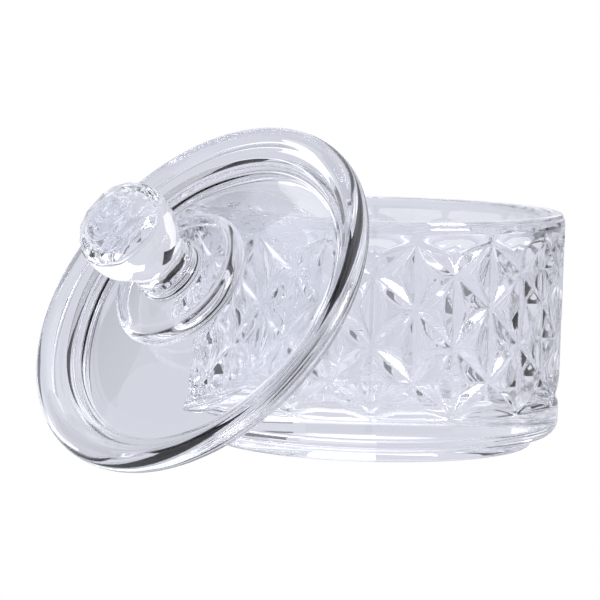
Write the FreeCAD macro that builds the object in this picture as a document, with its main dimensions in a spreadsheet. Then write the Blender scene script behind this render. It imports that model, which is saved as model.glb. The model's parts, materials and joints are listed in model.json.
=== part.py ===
import FreeCAD, Part
import math
import os
import Sketcher

# Dappen dish with lid: a round pressed-glass dish, and its glass lid leaning on it with one edge
# on the table. The dish stands on z = 0 with its axis on +Z, and the lid leans towards -Y.
# Millimetres throughout.
# Each lid piece is drawn upright on its own axis, with level 0 at the middle of the lid's rolled rim,
# and the three of them share one leaning placement.

# Corners of each turned outline: distance from the axis, then level.
DISH_CORNERS = {
    "base_centre": (0.0, 0.0),
    "foot_underside": (25.8, 0.0),
    "foot_side": (26.4, 0.6),
    "foot_top": (26.4, 1.6),
    "body_underside": (29.2, 1.6),
    "wall_bottom": (30.7, 3.1),
    "lip_outside": (31.0, 36.6),
    "lip_inside": (28.2, 36.6),
    "seat_bottom": (28.2, 33.4),
    "inner_wall_bottom": (27.6, 12.0),
    "floor_edge": (23.6, 8.0),
    "floor_centre": (0.0, 8.0),
}

LID_CORNERS = {
    "under_centre": (0.0, 0.9),
    "under_edge": (24.4, -3.1),
    "ring_root": (24.6, -4.1),
    "ring_low": (26.2, -4.1),
    "ring_high": (26.4, -2.35),
    "rim_underside": (29.4, -1.6),
    "rim_crest": (29.4, 1.6),
    "rim_fall": (26.6, 0.2),
    "panel_edge": (24.6, -1.2),
    "panel_inner": (10.2, 2.2),
    "groove": (9.3, 2.8),
    "collar_low": (9.9, 3.3),
    "collar_high": (9.9, 6.9),
    "boss_foot": (5.9, 6.9),
    "boss_neck": (4.7, 8.1),
    "boss_top": (4.7, 8.6),
    "boss_centre": (0.0, 8.6),
}

KNOB_CORNERS = {
    "knob_base_centre": (0.0, 9.1),
    "neck_foot": (4.7, 9.1),
    "neck_top": (4.7, 9.6),
    "bell": (6.2, 14.0),
    "girdle_low": (7.5, 18.6),
    "girdle_high": (7.4, 19.9),
    "crown_upper": (6.1, 22.1),
    "table_edge": (3.3, 23.8),
    "table_centre": (0.0, 23.8),
}

# Round stretches: first corner, last corner, how the centre lies, and the corner it lines up with.
DISH_ARCS = [
    ("foot_underside", "foot_side", "over", "foot_underside"),
    ("body_underside", "wall_bottom", "over", "body_underside"),
    ("lip_outside", "lip_inside", "level", "lip_outside"),
    ("inner_wall_bottom", "floor_edge", "over", "floor_edge"),
]

LID_ARCS = [
    ("under_centre", "under_edge", "axis", None),
    ("ring_root", "ring_low", "level", "ring_low"),
    ("rim_underside", "rim_crest", "over", "rim_underside"),
    ("rim_crest", "rim_fall", "over", "rim_crest"),
    ("rim_fall", "panel_edge", "over", "panel_edge"),
    ("panel_edge", "panel_inner", "axis", None),
    ("collar_low", "collar_high", "over", "collar_low"),
    ("boss_foot", "boss_neck", "over", "boss_foot"),
]

KNOB_ARCS = [
    ("neck_top", "bell", "level", "neck_top"),
    ("bell", "girdle_low", "level", "girdle_low"),
]

# Arcs that bend into the glass instead of out of it.
HOLLOW_ARCS = {"inner_wall_bottom", "under_centre", "rim_fall", "boss_foot", "neck_top"}

BOND = {"bond_radius": 4.8, "bond_bottom": 8.6, "bond_depth": 0.5}
LEAN = {"lean_angle": 55.0, "lean_gap": 0.15}

AXIS_LINE = -2


def fill_sheet(document):
    sheet = document.addObject("Spreadsheet::Sheet", "Dimensions")
    values = {}
    for corners in (DISH_CORNERS, LID_CORNERS, KNOB_CORNERS):
        for corner, (radius, level) in corners.items():
            values[corner + "_radius"] = radius
            values[corner + "_level"] = level
    values.update(BOND)
    values.update(LEAN)
    for row, (alias, value) in enumerate(values.items(), start=1):
        sheet.set("A%d" % row, alias)
        sheet.set("B%d" % row, str(value))
        sheet.setAlias("B%d" % row, alias)
    document.recompute()


def arc_centre(first, last, rule, corners, partner):
    """Centre at equal distances from both ends, in line with the partner corner or on the axis."""
    (r1, z1), (r2, z2) = first, last
    if rule == "level":
        z = corners[partner][1]
        r = (r1 ** 2 - r2 ** 2 + (z1 - z) ** 2 - (z2 - z) ** 2) / (2 * (r1 - r2))
    else:
        r = 0.0 if rule == "axis" else corners[partner][0]
        z = (z1 ** 2 - z2 ** 2 + (r1 - r) ** 2 - (r2 - r) ** 2) / (2 * (z1 - z2))
    return r, z


def arc_between(first, last, centre, hollow):
    """Returns the arc and whether it runs from first to last (it is always stored anticlockwise)."""
    radius = math.dist(first, centre)
    turn_first = math.atan2(first[1] - centre[1], first[0] - centre[0])
    turn_last = math.atan2(last[1] - centre[1], last[0] - centre[0])
    circle = Part.Circle(FreeCAD.Vector(centre[0], centre[1], 0), FreeCAD.Vector(0, 0, 1), radius)
    if hollow:
        return Part.ArcOfCircle(circle, turn_last, turn_first), False
    return Part.ArcOfCircle(circle, turn_first, turn_last), True


def draw_outline(sketch, corners, arcs):
    """Draws the closed outline anticlockwise and ties every corner to its two cells of the sheet."""
    names = list(corners)
    arc_from = {arc[0]: arc for arc in arcs}
    starts = []
    ends = []
    for place, name in enumerate(names):
        following = names[(place + 1) % len(names)]
        first, last = corners[name], corners[following]
        if name in arc_from:
            rule, partner = arc_from[name][2:]
            centre = arc_centre(first, last, rule, corners, partner)
            curve, forwards = arc_between(first, last, centre, name in HOLLOW_ARCS)
        else:
            curve = Part.LineSegment(FreeCAD.Vector(*first, 0), FreeCAD.Vector(*last, 0))
            forwards = True
        index = sketch.addGeometry(curve, False)
        starts.append((index, 1 if forwards else 2))
        ends.append((index, 2 if forwards else 1))
    for place in range(len(names)):
        sketch.addConstraint(Sketcher.Constraint("Coincident", *ends[place - 1], *starts[place]))
    for place, name in enumerate(names):
        pin_corner(sketch, starts[place], name, corners[name])
    for name, (_, _, rule, partner) in arc_from.items():
        index = starts[names.index(name)][0]
        line_up_centre(sketch, index, rule, starts[names.index(partner)] if partner else None)


def pin_corner(sketch, point, name, place):
    if place[0] == 0.0:
        sketch.addConstraint(Sketcher.Constraint("PointOnObject", *point, AXIS_LINE))
    else:
        number = sketch.addConstraint(Sketcher.Constraint("DistanceX", -1, 1, *point, place[0]))
        sketch.setExpression("Constraints[%d]" % number, "Dimensions.%s_radius" % name)
    if place[1] == 0.0:
        sketch.addConstraint(Sketcher.Constraint("PointOnObject", *point, -1))
    else:
        number = sketch.addConstraint(Sketcher.Constraint("DistanceY", -1, 1, *point, place[1]))
        sketch.setExpression("Constraints[%d]" % number, "Dimensions.%s_level" % name)


def line_up_centre(sketch, arc, rule, partner):
    if rule == "axis":
        sketch.addConstraint(Sketcher.Constraint("PointOnObject", arc, 3, AXIS_LINE))
    elif rule == "level":
        sketch.addConstraint(Sketcher.Constraint("Horizontal", arc, 3, *partner))
    else:
        sketch.addConstraint(Sketcher.Constraint("Vertical", arc, 3, *partner))


def origin_plane(body, role):
    return next(plane for plane in body.Origin.OriginFeatures if plane.Role == role)


def turned_body(document, name, corners, arcs, placement):
    """A solid of revolution about the body's own Z axis."""
    body = document.addObject("PartDesign::Body", name)
    body.Label = name
    sketch = body.newObject("Sketcher::SketchObject", name + "_outline")
    sketch.AttachmentSupport = [(origin_plane(body, "XZ_Plane"), "")]
    sketch.MapMode = "FlatFace"
    draw_outline(sketch, corners, arcs)
    document.recompute()
    revolve = body.newObject("PartDesign::Revolution", name + "_turned")
    revolve.Profile = sketch
    revolve.ReferenceAxis = (sketch, ["V_Axis"])
    revolve.Angle = 360.0
    body.Tip = revolve
    sketch.Visibility = False
    body.Placement = placement
    return body


def bond_layer(document, placement):
    """The thin disc of cured clear adhesive between the lid's boss and the knob's neck."""
    disc = document.addObject("Part::Cylinder", "knob_bond")
    disc.Label = "knob_bond"
    disc.setExpression("Radius", "Dimensions.bond_radius")
    disc.setExpression("Height", "Dimensions.bond_depth")
    lift = FreeCAD.Placement(FreeCAD.Vector(0, 0, BOND["bond_bottom"]), FreeCAD.Rotation())
    disc.Placement = placement.multiply(lift)
    return disc


def leaning_placement():
    """The lid's rolled rim rests on the table and its hollow underside on the dish's lip.

    The underside is part of a sphere and the lip is part of a ring, so they meet at one point, straight
    below the lid's axis; the gap there is lean_gap.
    """
    angle = math.radians(LEAN["lean_angle"])
    rim_r, rim_half = LID_CORNERS["rim_crest"]
    centre_level = rim_r * math.sin(angle) + rim_half

    top = LID_CORNERS["under_centre"][1]
    edge_r, edge_level = LID_CORNERS["under_edge"]
    drop = top - edge_level
    sphere = (edge_r ** 2 + drop ** 2) / (2 * drop)
    below = sphere - top

    lip_half = (DISH_CORNERS["lip_outside"][0] - DISH_CORNERS["lip_inside"][0]) / 2
    lip_r = DISH_CORNERS["lip_inside"][0] + lip_half
    lip_level = DISH_CORNERS["lip_outside"][1]
    reach = sphere - lip_half - LEAN["lean_gap"]
    rise = lip_level - centre_level + below * math.cos(angle)
    out = lip_r + below * math.sin(angle) - math.sqrt(reach ** 2 - rise ** 2)

    turn = FreeCAD.Rotation(FreeCAD.Vector(1, 0, 0), LEAN["lean_angle"])
    return FreeCAD.Placement(FreeCAD.Vector(0, -out, centre_level), turn)


def check(document, pieces):
    for item in document.Objects:
        if "Invalid" in item.State or "Error" in item.State:
            raise RuntimeError("%s did not recompute: %s" % (item.Name, item.State))
    for piece in pieces:
        shape = piece.Shape
        if shape.isNull() or not shape.isValid() or len(shape.Solids) != 1:
            raise RuntimeError("%s is not one valid solid" % piece.Label)


def export(pieces):
    os.makedirs("parts", exist_ok=True)
    for piece in pieces:
        piece.Shape.exportStep("parts/%s.step" % piece.Label)


def main():
    document = FreeCAD.newDocument("dappen_dish")
    fill_sheet(document)
    upright = FreeCAD.Placement()
    leaning = leaning_placement()
    pieces = [
        turned_body(document, "dish", DISH_CORNERS, DISH_ARCS, upright),
        turned_body(document, "lid", LID_CORNERS, LID_ARCS, leaning),
        bond_layer(document, leaning),
        turned_body(document, "knob", KNOB_CORNERS, KNOB_ARCS, leaning),
    ]
    document.recompute()
    check(document, pieces)
    export(pieces)


main()
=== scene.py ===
import json
import math
import random

import bmesh
import bpy
from mathutils import Matrix, Vector, noise


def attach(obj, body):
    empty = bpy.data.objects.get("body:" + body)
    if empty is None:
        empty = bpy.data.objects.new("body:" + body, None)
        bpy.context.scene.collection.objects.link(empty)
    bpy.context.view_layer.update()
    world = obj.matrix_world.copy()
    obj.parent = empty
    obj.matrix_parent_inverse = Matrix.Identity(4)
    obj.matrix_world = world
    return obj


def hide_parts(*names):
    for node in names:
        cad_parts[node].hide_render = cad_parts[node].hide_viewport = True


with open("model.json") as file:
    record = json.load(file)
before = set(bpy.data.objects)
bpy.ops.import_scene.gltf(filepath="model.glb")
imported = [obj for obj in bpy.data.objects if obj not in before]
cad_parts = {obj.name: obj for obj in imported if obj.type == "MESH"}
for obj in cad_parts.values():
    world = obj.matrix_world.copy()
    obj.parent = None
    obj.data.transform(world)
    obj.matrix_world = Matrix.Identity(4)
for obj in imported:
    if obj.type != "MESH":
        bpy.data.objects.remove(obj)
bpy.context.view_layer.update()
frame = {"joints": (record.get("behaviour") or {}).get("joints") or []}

# Outlines are in millimetres and Blender's objects are in metres.
MM = 0.001

# The lid leans on the dish: its axis points along the lid_lift joint, and this is the middle of its rim.
LIFT_AXIS = Vector(frame["joints"][0]["axis"])
LID_CENTRE = Vector((0.0, -39.846, 25.683)) * MM

# Corners of an outline: distance from the axis, level, and the radius of the fillet there.
DISH_FOOT = [
    (0.0, 0.0, 0.0),
    (26.4, 0.0, 0.5),
    (26.4, 1.8, 0.4),
    (30.72, 1.8, 2.6),
    (30.72, 5.5, 0.0),
]
LIP_AND_WELL = [
    (31.0, 36.0, 0.0),
    (31.0, 36.75, 2.8),
    (30.76, 37.3, 0.06),
    (30.58, 37.36, 0.04),
    (30.67, 37.44, 0.04),
    (30.53, 37.88, 0.15),
    (30.2, 38.0, 0.4),
    (28.2, 38.0, 1.38),
    (28.2, 33.4, 2.0),
    (27.6, 12.0, 2.0),
    (27.6, 8.0, 3.6),
    (0.0, 8.0, 0.0),
]

# The same for the lid upright, from the ring under it round to the boss on its collar. Level 0 is the middle
# of its rim.
LID_RING_TO_BOSS = [
    (24.6, -4.9, 0.8),
    (26.2, -4.9, 0.7),
    (26.4, -2.35, 0.3),
    (28.9, -1.6, 1.0),
    (31.0, -1.6, 1.5),
    (31.0, 1.6, 1.58),
    (28.1, 1.55, 1.8),
    (26.75, 0.3, 0.5),
    (25.45, 0.1, 0.3),
    (25.0, -1.25, 0.5),
    (21.0, -0.9, 8.0),
    (12.0, 1.9, 8.0),
    (9.35, 2.6, 0.35),
    (9.9, 3.3, 0.3),
    (11.7, 3.3, 1.5),
    (11.7, 6.9, 2.2),
    (4.7, 6.9, 1.2),
    (4.7, 8.6, 0.15),
    (0.0, 8.6, 0.0),
]

# The longest step along each outline, and the largest turn in one step of a fillet.
DISH_STEP = 3.0
LID_STEP = 0.8
TURN_STEP = math.radians(9)

# Star relief on the dish's wall: sharp ridges run from star to star, with a pressed hollow in each triangle.
# Stars stand in every second column of a row, and rows are counted from the highest one. The ridges are
# shaped on an even grid with this row pitch, and then stretched to the rows' own levels.
COLUMNS = 30
FIRST_COLUMN = math.radians(-23.35)
ROW_LEVELS = (34.6, 29.7, 24.4, 18.4, 12.8, 8.1)
ROW_PITCH = 5.69
ROWS = len(ROW_LEVELS)

# The wall between these corners is plain apart from the relief. Its mesh has this many steps to a row or a
# column, over these rows, and the relief lies outside this radius and between these levels.
WALL_TOP = (31.0, 36.6)
WALL_BOTTOM = (30.7, 3.1)
STEPS = 20
RELIEF_ROWS = (-0.25, 5.3)
RELIEF_INSIDE = 30.0
RELIEF_LEVELS = (5.9, 36.0)

# Slope of a ridge's flanks, and how wide a flank is at its widest beside a slanting or an upright ridge.
FLANK_SLOPE = 0.40
SLANT_FLANK = 1.95
UPRIGHT_FLANK = 2.10

# The relief fades in between two places at the top, and runs out on a slope at the bottom; all in rows.
TOP_FADE = (-0.35, 0.45)
BOTTOM_ROW = 5.18
BOTTOM_SLOPE = 0.55

# The lid's underside is part of a sphere: the level of its top and its radius. It is drawn at each whole
# millimetre from the axis, up to an edge at a distance from the axis, with a fillet.
LID_SEGMENTS = 360
HOLLOW_TOP = 0.9
HOLLOW_SPHERE = 76.42
HOLLOW_STEPS = 23
HOLLOW_EDGE = (24.4, 1.2)

# Waviness of the lid near its panel's edge: where, how wide a band, how far out and up it goes, and the scale
# and slice of the noise that shapes it.
PANEL_EDGE = 24.6
WAVE_BAND = 2.0
WAVE_OUT = 0.25
WAVE_UP = 0.05
WAVE_SCALE = 2.2
WAVE_SLICE = 0.3

# The knob's smooth part, as distances from the axis and levels. Its neck and bell are arcs: the centre's
# distance from the axis, the centre's level, and the radius.
KNOB_FOOT = [(4.5, 9.12), (4.68, 9.2), (4.7, 9.6)]
NECK_ARC = (11.9, 9.6, 7.2)
NECK_LEVELS = (10.5, 11.4, 12.3, 13.2)
BELL_ARC = (-1.29, 18.6, 8.79)
BELL_LEVELS = (14.0, 15.0, 16.0, 17.0, 17.8, 18.6)
GIRDLE = [(7.49, 19.2), (7.42, 19.8), (7.27, 20.3)]

# Swell of the knob's glass: its share, the levels between which it dies out, and its scale along x, y and z.
# The soft one takes its shape from another place in the same noise.
SOFT_SWELL = (0.04, (18.0, 20.4), Vector((0.35, 0.35, 0.22)))
FINE_SWELL = (0.05, (9.6, 13.5), Vector((1.1, 1.1, 0.8)))
SOFT_PLACE = Vector((3.0, 1.0, 2.0))

# Rings of the knob's crown: corners in the ring, distance from the axis, level. The corners above the lowest
# ring are out of place by up to the jitter, and the bell has BELL_SPLIT points to each corner of that ring.
CROWN = [
    (16, 7.2, 20.5),
    (16, 6.7, 21.6),
    (8, 5.0, 23.1),
    (8, 2.6, 23.95),
]
CROWN_JITTER = (0.2, 0.2, 0.1)
BELL_SPLIT = 4

# Section of the adhesive bead: distance from the axis, level, and share of the creep. The creep has a number
# of tips round the neck, with steps from each to the next, and a greatest reach out and up.
BOND_SECTION = [
    (4.6, 8.62, 0.0),
    (5.0, 8.66, 0.4),
    (5.2, 8.85, 0.8),
    (5.05, 9.05, 1.0),
    (4.85, 9.2, 1.0),
    (4.8, 9.08, 0.0),
]
BOND_TIPS = 45
TIP_STEPS = 4
CREEP_OUT = 0.35
CREEP_UP = 1.1

# Each clear glass: its tint, and the scale and height, in metres, of its faint waviness.
GLASSES = {
    "dish_glass": ((0.955, 0.96, 0.98), 160.0, 0.00001),
    "lid_glass": ((0.955, 0.96, 0.98), 90.0, 0.00002),
    "knob_glass": ((0.965, 0.97, 0.985), 300.0, 0.000003),
    "clear_bond": ((0.95, 0.955, 0.975), 900.0, 0.0001),
}
GLASS_IOR = 1.52

# The camera looks at its target from this azimuth round the dish and this climb above level.
CAMERA_AZIMUTH = math.radians(43.9)
CAMERA_CLIMB = math.radians(5.57)
CAMERA_ROLL = math.radians(1.33)
CAMERA_TARGET = Vector((-8.60, -8.27, 22.60)) * MM
CAMERA_DISTANCE = 496
CAMERA_LENS = 181.8
CAMERA_SENSOR = 36.0

# The room, in metres. Each card after the first is nearer by the gap. A card's step is in degrees.
ROOM_TONE = (0.70, 0.715, 0.78)
FLOOR_RADIUS = 6.0
CARD_TINT = (0.97, 0.985, 1.06)
CARD_DISTANCE = 1.6
CARD_GAP = 0.04
CARD_STEP = 4.0
CARD_CENTRE = Vector((0.0, 0.0, 0.025))

# Curved studio cards round the dish, the outermost first. Each one spans an azimuth, in degrees to the
# right of the camera's line, and a climb above level, and has a glow.
CARDS = {
    "ceiling": ((-180, 180), (60, 90), 1.5),
    "right_sweep": ((0, 180), (28, 60), 1.2),
    "right_wall": ((90, 180), (-40, 28), 1.0),
    "left_wall": ((-180, -120), (-40, 42), 1.0),
    "back_sweep": ((-15, 15), (19, 28), 1.35),
    "back_window": ((0, 15), (8, 19), 1.35),
    "back_glow": ((0, 15), (-2, 8), 0.84),
    "upper_left_grey": ((-110, -75), (8, 60), 0.55),
    "upper_left_flag": ((-60, -30), (42, 60), 0.3),
    "left_flag": ((-76, -30), (4, 45), 0.0),
    "key_box": ((123, 147), (15, 35), 14.0),
    "right_flag": ((46, 76), (-4, 11), 0.02),
    "right_light": ((80, 110), (-40, 18), 1.2),
    "back_flag": ((18, 46), (-4, 11), 0.2),
    "low_grey": ((15, 40), (-25, -15), 0.5),
    "low_light": ((30, 60), (-60, -40), 1.2),
    "low_left_light": ((-60, -40), (-25, 4), 1.1),
    "camera_side": ((-180, -140), (-25, 10), 0.05),
}


def link_mesh(name, points, faces):
    """A smooth-shaded object from points in millimetres."""
    mesh = bpy.data.meshes.new(name)
    mesh.from_pydata([tuple(Vector(p) * MM) for p in points], [], faces)
    mesh.validate()
    mesh.polygons.foreach_set("use_smooth", [True] * len(mesh.polygons))
    mesh.update()
    piece = bpy.data.objects.new(name, mesh)
    bpy.context.scene.collection.objects.link(piece)
    return piece


def stretch(start, end, longest):
    """Points from start up to end, not counting end, no further apart than longest."""
    count = max(1, math.ceil((end - start).length / longest))
    return [start.lerp(end, i / count) for i in range(count)]


def rounded(corners, longest):
    """An outline through (radius, level, fillet) corners, each one rounded by its fillet."""
    points = []
    last = Vector(corners[0][:2])
    for place in range(1, len(corners) - 1):
        corner = Vector(corners[place][:2])
        before = (Vector(corners[place - 1][:2]) - corner).normalized()
        after = (Vector(corners[place + 1][:2]) - corner).normalized()
        fillet = corners[place][2]
        half = before.angle(after) / 2
        reach = fillet / math.tan(half) if fillet else 0.0
        first = corner + before * reach
        points += stretch(last, first, longest)
        turn = math.pi - 2 * half
        centre = corner + (before + after).normalized() * (fillet / math.sin(half))
        count = max(1, round(turn / TURN_STEP)) if fillet else 0
        side = 1 if before.cross(after) < 0 else -1
        spoke = first - centre
        for step in range(count):
            swing = Matrix.Rotation(side * turn * step / count, 2)
            points.append(centre + swing @ spoke)
        last = corner + after * reach
    points += stretch(last, Vector(corners[-1][:2]), longest)
    points.append(Vector(corners[-1][:2]))
    return [(p.x, p.y) for p in points]


def bottom_cap(sides):
    """Triangles between the first point, on the axis, and the ring of points after it."""
    return [(0, 1 + (step + 1) % sides, 1 + step) for step in range(sides)]


def top_cap(last, sides):
    """Triangles between the last point, on the axis, and the ring of points before it."""
    first = last - sides
    return [(last, first + step, first + (step + 1) % sides) for step in range(sides)]


def ring_quad(row, step, sides):
    """The four corners of one face between a ring of points and the next; point 0 is on the axis."""
    a = 1 + row * sides + step
    b = 1 + row * sides + (step + 1) % sides
    return a, b, b + sides, a + sides


def turned(name, outline, segments, place, relief=False):
    """A closed solid of revolution; both ends of the outline lie on the axis.

    place gives the radius and level that an outline's point takes at one azimuth. With relief, each face of
    the wall is split along whichever diagonal lies further out, which keeps the ridges sharp.
    """
    inner = outline[1:-1]
    points = [(0.0, 0.0, outline[0][1])]
    for r, z in inner:
        for step in range(segments):
            azimuth = 2 * math.pi * step / segments + FIRST_COLUMN
            radius, level = place(azimuth, r, z)
            points.append((radius * math.cos(azimuth), radius * math.sin(azimuth), level))
    points.append((0.0, 0.0, outline[-1][1]))
    faces = bottom_cap(segments) + top_cap(len(points) - 1, segments)
    for row in range(len(inner) - 1):
        split = relief and on_relief(inner[row])
        for step in range(segments):
            a, b, c, d = ring_quad(row, step, segments)
            if not split:
                faces.append((a, b, c, d))
            elif wall_gap(points, a, c) < wall_gap(points, b, d):
                faces += [(a, b, c), (a, c, d)]
            else:
                faces += [(a, b, d), (b, c, d)]
    return link_mesh(name, points, faces)


def wall_gap(points, first, second):
    """How far two points lie inside the plain wall, added together."""
    return sum(WALL_TOP[0] - math.hypot(*points[i][:2]) for i in (first, second))


def on_relief(corner):
    return corner[0] > RELIEF_INSIDE and RELIEF_LEVELS[0] < corner[1] < RELIEF_LEVELS[1]


def ridge_depth(across, down, ridge):
    """Depth beside one straight ridge: flat flanks in the shape of a leaf, widest half-way along."""
    start, end, widest = ridge
    run = end - start
    offset = Vector((across, down)) - start
    along = min(1.0, max(0.0, offset.dot(run) / run.length_squared))
    aside = abs(offset.cross(run)) / run.length
    return FLANK_SLOPE * min(aside, 4 * widest * along * (1 - along))


def fade(value, start, end):
    """Rises smoothly from 0 at start to 1 at end."""
    share = min(1.0, max(0.0, (value - start) / (end - start)))
    return share * share * (3 - 2 * share)


def row_level(row):
    """Level of a place counted in rows of stars; the spacings at the ends carry on past them."""
    place = min(ROWS - 2, max(0, math.floor(row)))
    high, low = ROW_LEVELS[place], ROW_LEVELS[place + 1]
    return high + (low - high) * (row - place)


def row_at(level):
    """The place in rows of stars that has this level."""
    place = sum(level < below for below in ROW_LEVELS[1:-1])
    high, low = ROW_LEVELS[place], ROW_LEVELS[place + 1]
    return place + (high - level) / (high - low)


def triangle_at(column, row):
    """The triangle of ridges round a place on the wall.

    Its base runs up a column from star to star, and its point is the star beside the base's middle. Returns
    the point's row, and how far this place is from the base, as a share of the gap between columns.
    """
    left = math.floor(column)
    share = column - left
    point_row = 2 * round((row - left % 2) / 2) + left % 2
    if abs(row - point_row) > 1 - share:
        share = 1 - share
        point_row = 2 * round((row - (left + 1) % 2) / 2) + (left + 1) % 2
    return point_row, share


def relief_depth(azimuth, level):
    """Depth of the pressed hollows, one in each triangle of ridges between the stars."""
    column = (azimuth - FIRST_COLUMN) / (2 * math.pi / COLUMNS)
    row = row_at(level)
    shown = fade(row, *TOP_FADE)
    foot_flank = BOTTOM_SLOPE * ROW_PITCH * (BOTTOM_ROW - row)
    if shown == 0.0 or foot_flank <= 0.0:
        return 0.0
    row = min(ROWS - 1.0, max(0.0, row))
    point_row, share = triangle_at(column, row)
    width = 2 * math.pi * WALL_TOP[0] / COLUMNS
    point = Vector((width, 0.0))
    above = Vector((0.0, -ROW_PITCH))
    below = Vector((0.0, ROW_PITCH))
    ridges = []
    if point_row > 0:
        ridges.append((above, point, SLANT_FLANK))
    if point_row < ROWS - 1:
        ridges.append((below, point, SLANT_FLANK))
    if 0 < point_row < ROWS - 1:
        ridges.append((above, below, UPRIGHT_FLANK))
    across, down = share * width, (row - point_row) * ROW_PITCH
    return shown * min(foot_flank, *(ridge_depth(across, down, ridge) for ridge in ridges))


def pressed_wall(azimuth, r, z):
    if not on_relief((r, z)):
        return r, z
    return r - relief_depth(azimuth, z), z


def wall_rows():
    """The outer wall, from just below the hollows to just above the highest star."""
    low, high = Vector(WALL_BOTTOM), Vector(WALL_TOP)
    first, last = (round(row * STEPS) for row in RELIEF_ROWS)
    levels = [row_level(step / STEPS) for step in range(last, first - 1, -1)]
    return [tuple(low.lerp(high, (z - low.y) / (high.y - low.y))) for z in levels]


def make_dish():
    outline = rounded(DISH_FOOT, DISH_STEP)[:-1] + wall_rows() + rounded(LIP_AND_WELL, DISH_STEP)
    return turned("dish_visual", outline, COLUMNS * STEPS, pressed_wall, relief=True)


def lid_wave(azimuth, r, z):
    """Fire polishing leaves the panel's edge a little wavy."""
    near_edge = max(0.0, 1.0 - abs(r - PANEL_EDGE) / WAVE_BAND)
    drift = noise.noise(Vector((math.cos(azimuth), math.sin(azimuth), WAVE_SLICE)) * WAVE_SCALE)
    return r + WAVE_OUT * near_edge * drift, z + WAVE_UP * near_edge * drift


def hollow(r):
    """Level of the lid's underside at this distance from the axis."""
    return HOLLOW_TOP - HOLLOW_SPHERE + math.sqrt(HOLLOW_SPHERE ** 2 - r ** 2)


def make_lid():
    underside = [(float(r), hollow(r)) for r in range(HOLLOW_STEPS)]
    edge_r, edge_fillet = HOLLOW_EDGE
    edge = [(HOLLOW_STEPS, hollow(HOLLOW_STEPS), 0.0), (edge_r, hollow(edge_r), edge_fillet)]
    outline = underside + rounded(edge + LID_RING_TO_BOSS, LID_STEP)
    return turned("lid_visual", outline, LID_SEGMENTS, lid_wave)


def ring(r, z, count, shift=0.0):
    turns = [2 * math.pi * (step + shift) / count for step in range(count)]
    return [(r * math.cos(turn), r * math.sin(turn), z) for turn in turns]


def arc_side(arc, level, side):
    """Distance from the axis of an arc's near side (-1) or far side (1) at this level."""
    centre, centre_level, radius = arc
    return centre + side * math.sqrt(radius ** 2 - (level - centre_level) ** 2)


def knob_outline():
    """The knob's smooth part, from the edge of its base up to the lowest ring of its crown."""
    neck = [(arc_side(NECK_ARC, level, -1), level) for level in NECK_LEVELS]
    bell = [(arc_side(BELL_ARC, level, 1), level) for level in BELL_LEVELS]
    return KNOB_FOOT + neck + bell + GIRDLE + [CROWN[0][1:]]


def poured(point):
    """The bell's soft unevenness, which dies out at the girdle, and the neck's finer ripples."""
    soft, soft_levels, soft_scale = SOFT_SWELL
    fine, fine_levels, fine_scale = FINE_SWELL
    x, y, z = point
    swell = 1.0 + soft * (1.0 - fade(z, *soft_levels)) * noise.noise(Vector(point) * soft_scale + SOFT_PLACE)
    swell += fine * (1.0 - fade(z, *fine_levels)) * noise.noise(Vector(point) * fine_scale)
    return x * swell, y * swell, z


def crown_corners():
    """Corners of the crown above its lowest ring, each one a little out of place."""
    dice = random.Random(7)
    corners = []
    for row, (count, r, level) in enumerate(CROWN[1:], start=1):
        for corner in ring(r, level, count, 0.5 * row):
            jitter = [dice.uniform(-size, size) for size in CROWN_JITTER]
            corners.append(tuple(value + shift for value, shift in zip(corner, jitter)))
    return corners


def crown_faces(points):
    """Flat facets over the crown, as groups of places in the list of points."""
    shape = bmesh.new()
    corners = [shape.verts.new(point) for point in points]
    hull = bmesh.ops.convex_hull(shape, input=corners)
    shape.verts.index_update()
    facets = [item for item in hull["geom"] if isinstance(item, bmesh.types.BMFace)]
    groups = [[corner.index for corner in facet.verts] for facet in facets]
    shape.free()
    return groups


def make_knob():
    """Smooth neck and bell, then rows of small flat facets over the crown."""
    outline = knob_outline()
    crown_sides = CROWN[0][0]
    sides = crown_sides * BELL_SPLIT
    points = [(0.0, 0.0, KNOB_FOOT[0][1])]
    for r, level in outline:
        points += [poured(point) for point in ring(r, level, sides)]
    faces = bottom_cap(sides)
    for row in range(len(outline) - 1):
        faces += [ring_quad(row, step, sides) for step in range(sides)]
    smooth_count = len(faces)
    top = len(points) - sides
    for step in range(crown_sides):
        faces.append(tuple(top + (BELL_SPLIT * step + i) % sides for i in range(BELL_SPLIT + 1)))
    upper = crown_corners()
    places = [top + BELL_SPLIT * step for step in range(crown_sides)]
    places += range(len(points), len(points) + len(upper))
    points += upper
    for group in crown_faces([points[place] for place in places]):
        if max(group) >= crown_sides:
            faces.append(tuple(places[i] for i in group))
    piece = link_mesh("knob_visual", points, faces)
    for place, face in enumerate(piece.data.polygons):
        face.use_smooth = place < smooth_count
    return piece


def bond_creep():
    """How far the bead has crept at each step round the neck: straight slopes between uneven tips."""
    dice = random.Random(4)
    tips = [dice.uniform(0.0, 1.0) for _ in range(BOND_TIPS)]
    creep = []
    for place, tip in enumerate(tips):
        following = tips[(place + 1) % BOND_TIPS]
        creep += [tip + (following - tip) * step / TIP_STEPS for step in range(TIP_STEPS)]
    return creep


def make_bond():
    """A thin bead of cured adhesive that creeps unevenly up the neck."""
    creep = bond_creep()
    sides = len(creep)
    points = [(0.0, 0.0, BOND_SECTION[0][1])]
    for r, level, share in BOND_SECTION:
        for step in range(sides):
            radius = r + CREEP_OUT * share * creep[step]
            turn = 2 * math.pi * step / sides
            height = level + CREEP_UP * share * creep[step]
            points.append((radius * math.cos(turn), radius * math.sin(turn), height))
    points.append((0.0, 0.0, BOND_SECTION[-1][1]))
    faces = bottom_cap(sides) + top_cap(len(points) - 1, sides)
    for row in range(len(BOND_SECTION) - 1):
        faces += [ring_quad(row, step, sides) for step in range(sides)]
    return link_mesh("bond_visual", points, faces)


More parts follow.
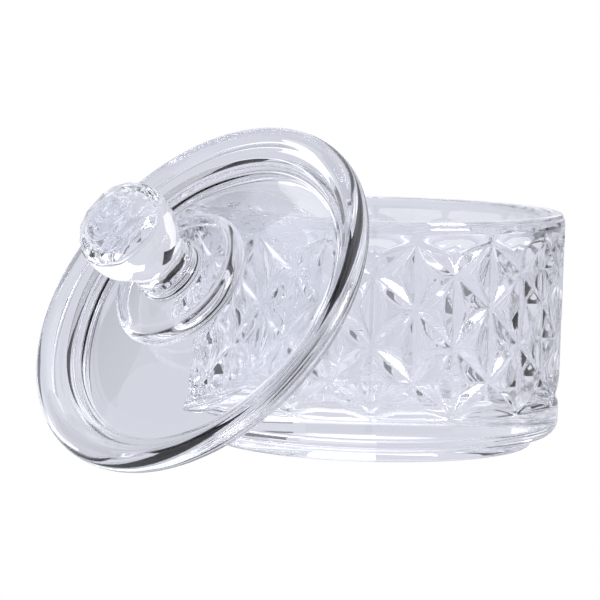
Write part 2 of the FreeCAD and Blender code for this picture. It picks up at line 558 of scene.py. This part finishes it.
def glass(name, tint, wave_scale, wave_height):
    """Clear glass with a faint pressed waviness."""
    material = bpy.data.materials.new(name)
    material.use_nodes = True
    nodes = material.node_tree.nodes
    links = material.node_tree.links
    shader = nodes["Principled BSDF"]
    shader.inputs["Base Color"].default_value = (*tint, 1.0)
    shader.inputs["Roughness"].default_value = 0.0
    shader.inputs["IOR"].default_value = GLASS_IOR
    shader.inputs["Transmission Weight"].default_value = 1.0
    place = nodes.new("ShaderNodeTexCoord")
    wave = nodes.new("ShaderNodeTexNoise")
    wave.inputs["Scale"].default_value = wave_scale
    wave.inputs["Detail"].default_value = 1.0
    bump = nodes.new("ShaderNodeBump")
    bump.inputs["Strength"].default_value = 1.0
    bump.inputs["Distance"].default_value = wave_height
    links.new(place.outputs["Object"], wave.inputs["Vector"])
    links.new(wave.outputs["Fac"], bump.inputs["Height"])
    links.new(bump.outputs["Normal"], shader.inputs["Normal"])
    return material


def add_piece(piece, body, node, slot):
    piece.data.materials.append(glass(slot, *GLASSES[slot]))
    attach(piece, body)
    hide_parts(node)


def build():
    """The dish, and the three pieces of the lid, which are made upright and then leaned."""
    add_piece(make_dish(), "dish_body", "dish", "dish_glass")
    lean = Matrix.Rotation(math.atan2(-LIFT_AXIS.y, LIFT_AXIS.z), 4, "X")
    lid_pieces = [
        (make_lid(), "lid", "lid_glass"),
        (make_knob(), "knob", "knob_glass"),
        (make_bond(), "knob_bond", "clear_bond"),
    ]
    for piece, node, slot in lid_pieces:
        piece.data.transform(Matrix.Translation(LID_CENTRE) @ lean)
        add_piece(piece, "lid_body", node, slot)


def room_glow(nodes, links):
    """White where the camera looks straight at it, and the room's tone to everything else."""
    room = nodes.new("ShaderNodeEmission")
    room.inputs["Color"].default_value = (*ROOM_TONE, 1.0)
    backdrop = nodes.new("ShaderNodeEmission")
    backdrop.inputs["Color"].default_value = (1.0, 1.0, 1.0, 1.0)
    ray = nodes.new("ShaderNodeLightPath")
    choice = nodes.new("ShaderNodeMixShader")
    links.new(ray.outputs["Is Camera Ray"], choice.inputs["Fac"])
    links.new(room.outputs["Emission"], choice.inputs[1])
    links.new(backdrop.outputs["Emission"], choice.inputs[2])
    return choice.outputs["Shader"]


def add_floor():
    """A round white floor, which the glass itself doesn't see."""
    bpy.ops.mesh.primitive_circle_add(vertices=96, radius=FLOOR_RADIUS, fill_type="NGON")
    floor = bpy.context.object
    floor.name = "floor"
    material = bpy.data.materials.new("floor_white")
    material.use_nodes = True
    nodes = material.node_tree.nodes
    links = material.node_tree.links
    links.new(room_glow(nodes, links), nodes["Material Output"].inputs["Surface"])
    floor.data.materials.append(material)
    floor.visible_glossy = False
    floor.visible_transmission = False


def look_direction(azimuth, climb):
    """The way out from the dish, given in degrees to the right of the camera's line and above level."""
    turn = CAMERA_AZIMUTH - math.radians(azimuth)
    rise = math.radians(climb)
    return Vector((-math.sin(turn) * math.cos(rise), math.cos(turn) * math.cos(rise), math.sin(rise)))


def card_mesh(name, azimuths, climbs, distance):
    """Part of a sphere round the dish, in faces no larger than CARD_STEP each way."""
    across = math.ceil((azimuths[1] - azimuths[0]) / CARD_STEP)
    up = math.ceil((climbs[1] - climbs[0]) / CARD_STEP)
    points = []
    for row in range(up + 1):
        for column in range(across + 1):
            azimuth = azimuths[0] + (azimuths[1] - azimuths[0]) * column / across
            climb = climbs[0] + (climbs[1] - climbs[0]) * row / up
            points.append(look_direction(azimuth, climb) * distance + CARD_CENTRE)
    faces = []
    for row in range(up):
        for column in range(across):
            corner = row * (across + 1) + column
            faces.append((corner, corner + 1, corner + across + 2, corner + across + 1))
    mesh = bpy.data.meshes.new(name)
    mesh.from_pydata(points, [], faces)
    return mesh


def add_card(name, azimuths, climbs, glow, distance):
    """A curved card that the camera doesn't see. It glows white, or is black where its glow is 0."""
    mesh = card_mesh(name, azimuths, climbs, distance)
    card = bpy.data.objects.new(name, mesh)
    bpy.context.scene.collection.objects.link(card)
    card.visible_camera = False
    material = bpy.data.materials.new(name)
    material.use_nodes = True
    shader = material.node_tree.nodes["Principled BSDF"]
    shader.inputs["Base Color"].default_value = (0.0, 0.0, 0.0, 1.0)
    shader.inputs["Roughness"].default_value = 1.0
    shader.inputs["Specular IOR Level"].default_value = 0.0
    shader.inputs["Emission Color"].default_value = (*CARD_TINT, 1.0)
    shader.inputs["Emission Strength"].default_value = glow
    mesh.materials.append(material)


def add_world():
    """White to the camera, and a soft lavender-grey room to the glass."""
    world = bpy.data.worlds.new("studio")
    bpy.context.scene.world = world
    world.use_nodes = True
    nodes = world.node_tree.nodes
    links = world.node_tree.links
    links.new(room_glow(nodes, links), nodes["World Output"].inputs["Surface"])


def add_camera():
    """A long lens a little above the dish, with a slight roll."""
    azimuth = CAMERA_AZIMUTH
    level = math.cos(CAMERA_CLIMB)
    back = Vector((math.sin(azimuth) * level, -math.cos(azimuth) * level, math.sin(CAMERA_CLIMB)))
    side = Vector((math.cos(azimuth), math.sin(azimuth), 0.0))
    right = math.cos(CAMERA_ROLL) * side + math.sin(CAMERA_ROLL) * back.cross(side)
    turn = Matrix((right, back.cross(right), back)).transposed().to_4x4()
    data = bpy.data.cameras.new("camera")
    data.lens = CAMERA_LENS
    data.sensor_width = CAMERA_SENSOR
    data.clip_start = 0.01
    camera = bpy.data.objects.new("camera", data)
    camera.matrix_world = Matrix.Translation(CAMERA_TARGET + back * CAMERA_DISTANCE * MM) @ turn
    bpy.context.scene.collection.objects.link(camera)
    bpy.context.scene.camera = camera


build()
add_floor()
add_world()
for place, (name, facts) in enumerate(CARDS.items()):
    add_card(name, *facts, CARD_DISTANCE - CARD_GAP * place)
add_camera()

scene = bpy.context.scene
scene.view_settings.view_transform = "Standard"
scene.cycles.max_bounces = 24
scene.cycles.transmission_bounces = 24
scene.cycles.glossy_bounces = 12
